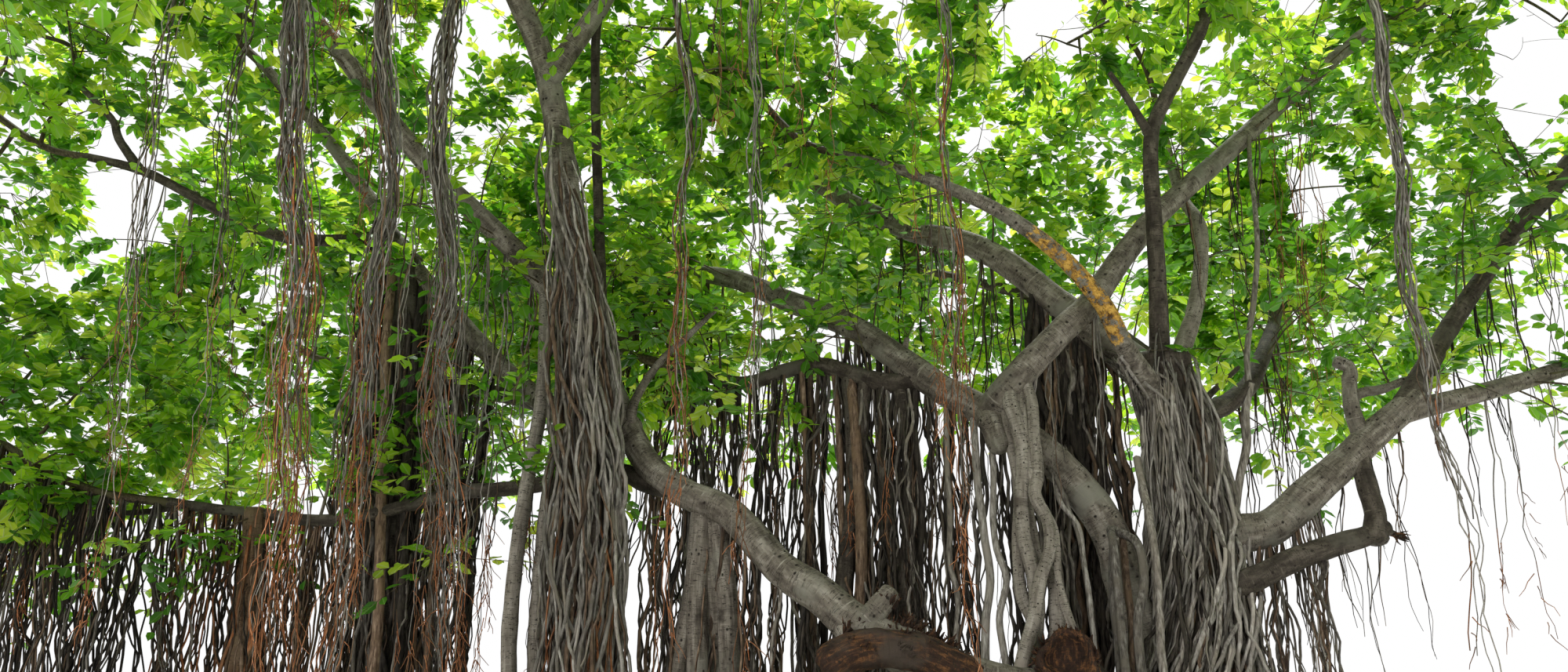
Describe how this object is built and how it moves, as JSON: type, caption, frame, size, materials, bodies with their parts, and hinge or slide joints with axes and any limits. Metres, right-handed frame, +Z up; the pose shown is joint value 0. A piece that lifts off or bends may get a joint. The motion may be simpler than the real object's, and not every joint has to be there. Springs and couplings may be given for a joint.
{
  "type": "banyan tree",
  "caption": "Old banyan with a leaning fluted trunk, long crossing limbs, pillars and curtains of aerial roots, and a wide open crown.",
  "frame": {"origin": "middle of the flat cut under the trunk, at ground level", "axes": "+Z up, +X along the crown's long way with the left root pillar on -X, and the side seen in the picture faces -Y"},
  "size_m": [18.984, 13.0282, 9.838],
  "materials": {
    "trunk_bark": "rough grey-brown bark, fluted and veiled with roots",
    "limb_bark": "speckled grey-brown bark with fine cross rings",
    "dark_bark": "dark shaded bark",
    "golden_bark": "golden-orange flaking bark on grey wood",
    "pale_root": "smooth pale grey root bark",
    "brown_root": "fibrous brown aerial roots with orange tips",
    "foliage": "glossy oval leaves, deep to bright green"
  },
  "bodies": {
    "root": {"trunk": "trunk_bark", "left_main_limb": "limb_bark", "crossing_limb": "limb_bark", "rear_limb": "limb_bark", "golden_limb": "golden_bark", "upright_stem": "dark_bark", "dead_fork": "dark_bark", "pale_stem": "pale_root", "right_bough": "limb_bark", "right_high_bough": "dark_bark", "right_low_bough": "limb_bark", "front_right_bough": "dark_bark", "elbow_limb": "limb_bark", "elbow_riser": "limb_bark", "low_limb": "limb_bark", "great_limb": "limb_bark", "second_limb": "limb_bark", "third_limb": "dark_bark", "far_left_bough": "dark_bark", "back_left_bough": "dark_bark", "back_middle_bough": "dark_bark", "back_right_bough": "dark_bark", "side_limb": "dark_bark", "root_pillar": "pale_root", "dark_root_pillar": "dark_bark", "brown_root_pillar": "brown_root", "rear_root_pillar": "dark_bark", "pillar_bough": "limb_bark", "pillar_fork": "limb_bark", "twin_root_left": "pale_root", "twin_root_right": "pale_root", "centre_root_curtain": "dark_bark", "cone_roots": "dark_bark", "strangler_roots": "pale_root", "hanging_roots_1": "brown_root", "hanging_roots_2": "brown_root", "hanging_roots_3": "brown_root", "hanging_roots_4": "brown_root", "hanging_roots_5": "brown_root", "hanging_roots_6": "brown_root", "hanging_roots_7": "brown_root", "foliage_back_far_left": "foliage", "foliage_back_left": "foliage", "foliage_back_middle": "foliage", "foliage_back_right": "foliage", "foliage_far_left": "foliage", "foliage_low_left": "foliage", "foliage_upper_left": "foliage", "foliage_high_middle": "foliage", "foliage_high_centre": "foliage", "foliage_high_right": "foliage", "foliage_right": "foliage", "foliage_low_right": "foliage", "foliage_front_far_left": "foliage", "foliage_front_left": "foliage", "foliage_front_middle": "foliage", "foliage_front_right": "foliage", "foliage_right_front": "foliage", "foliage_inner_left": "foliage", "foliage_inner_centre": "foliage"}
  },
  "joints": []
}
